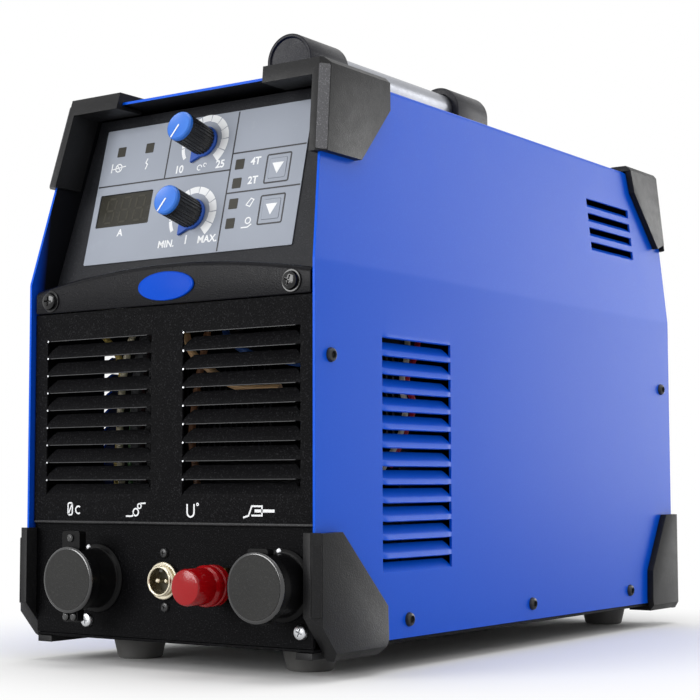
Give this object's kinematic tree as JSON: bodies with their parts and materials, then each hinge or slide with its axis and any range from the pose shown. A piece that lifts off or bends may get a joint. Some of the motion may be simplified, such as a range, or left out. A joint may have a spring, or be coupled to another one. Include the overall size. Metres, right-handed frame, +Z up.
{
  "type": "plasma cutter unit",
  "caption": "Upright portable plasma cutter unit: folded steel case with corner bumpers, bar handle, sloping control fascia with knobs, louvred front, capped sockets and rear fan.",
  "frame": {"origin": "centre of the bounding box, on the plane the feet stand on", "axes": "+X to the unit's left-hand socket side seen from behind (right of the front view), +Y from the front to the rear, +Z up"},
  "size_m": [0.23, 0.5234, 0.4029],
  "materials": {
    "case_blue": "satin powder coat",
    "case_black": "fine-textured powder coat",
    "bezel_black": "moulded, fine grain",
    "badge_blue": "smooth moulded",
    "screw_black": "black zinc",
    "bumper_grey": "moulded, spark-eroded texture",
    "bar_aluminium": "satin anodised",
    "rubber_black": "moulded",
    "nickel": "nickel plate",
    "brass": "turned",
    "cap_red": "smooth, slightly translucent",
    "overlay_film": "printed polyester film",
    "display_smoked": "smoked window and dark sleeve",
    "circuit_board": "solder-masked laminate",
    "steel": "zinc plate",
    "ferrite": "moulded and taped",
    "copper": "enamelled wire"
  },
  "bodies": {
    "case": {"cover": "case_blue", "base_pan": "case_black", "connector_panel": "case_black", "grille_panel": "case_black", "rear_panel": "case_black", "fascia_panel": "case_black", "bezel": "bezel_black", "handle_block_front": "bezel_black", "handle_block_rear": "bezel_black", "socket_left": "bezel_black", "socket_right": "bezel_black", "fan_frame": "bezel_black", "switch_housing": "bezel_black", "cable_gland": "bezel_black", "badge": "badge_blue", "bezel_screw_left": "screw_black", "bezel_screw_right": "screw_black", "bumper_front_top_right": "bumper_grey", "bumper_front_top_left": "bumper_grey", "bumper_front_bottom_right": "bumper_grey", "bumper_front_bottom_left": "bumper_grey", "bumper_rear_top_right": "bumper_grey", "bumper_rear_top_left": "bumper_grey", "bumper_rear_bottom_right": "bumper_grey", "bumper_rear_bottom_left": "bumper_grey", "handle_bar": "bar_aluminium", "heatsink_left": "bar_aluminium", "heatsink_right": "bar_aluminium", "foot_front_left": "rubber_black", "foot_front_right": "rubber_black", "foot_rear_left": "rubber_black", "foot_rear_right": "rubber_black", "gas_hose": "rubber_black", "signal_socket": "nickel", "torch_connector": "brass", "gas_inlet": "brass", "solenoid_valve": "brass", "overlay": "overlay_film", "display_module": "display_smoked", "capacitor_left": "display_smoked", "capacitor_right": "display_smoked", "control_board": "circuit_board", "power_board": "circuit_board", "potentiometer_post_flow": "steel", "potentiometer_current": "steel", "fan_guard": "steel", "rectifier": "ferrite", "transformer": "ferrite", "output_choke": "copper"},
    "knob_post_flow": {"knob_post_flow": "bezel_black", "shaft_post_flow": "steel"},
    "knob_current": {"knob_current": "bezel_black", "shaft_current": "steel"},
    "button_mode": {"button_mode": "overlay_film"},
    "button_gas": {"button_gas": "overlay_film"},
    "socket_cap_left": {"socket_cap_left": "rubber_black"},
    "socket_cap_right": {"socket_cap_right": "rubber_black"},
    "torch_connector_cap": {"torch_connector_cap": "cap_red"},
    "fan_rotor": {"fan_rotor": "bezel_black"},
    "switch_rocker": {"switch_rocker": "bezel_black"}
  },
  "joints": [
    {"name": "knob_post_flow_turn", "type": "hinge", "parent": "case", "child": "knob_post_flow", "pos_m": [-0.0025, -0.192, 0.3167], "axis": [0, -0.9701, 0.2425], "range_deg": [-280, 0]},
    {"name": "knob_current_turn", "type": "hinge", "parent": "case", "child": "knob_current", "pos_m": [-0.0025, -0.20359, 0.27033], "axis": [0, -0.9701, 0.2425], "range_deg": [-280, 0]},
    {"name": "button_mode_press", "type": "slide", "parent": "case", "child": "button_mode", "axis": [0, 0.9701, -0.2425], "range_m": [0, 0.001], "stiffness_N_per_m": 800, "springref_m": -0.0005},
    {"name": "button_gas_press", "type": "slide", "parent": "case", "child": "button_gas", "axis": [0, 0.9701, -0.2425], "range_m": [0, 0.001], "stiffness_N_per_m": 800, "springref_m": -0.0005},
    {"name": "socket_cap_left_pull", "type": "slide", "parent": "case", "child": "socket_cap_left", "axis": [0, -1, 0], "range_m": [0, 0.03]},
    {"name": "socket_cap_right_pull", "type": "slide", "parent": "case", "child": "socket_cap_right", "axis": [0, -1, 0], "range_m": [0, 0.03]},
    {"name": "torch_connector_cap_pull", "type": "slide", "parent": "case", "child": "torch_connector_cap", "axis": [0, -1, 0], "range_m": [0, 0.04]},
    {"name": "fan_spin", "type": "hinge", "parent": "case", "child": "fan_rotor", "pos_m": [0, 0.2114, 0.13], "axis": [0, 1, 0], "continuous": true},
    {"name": "switch_rock", "type": "hinge", "parent": "case", "child": "switch_rocker", "pos_m": [-0.07, 0.2325, 0.268], "axis": [1, 0, 0], "range_deg": [-18, 0]}
  ]
}
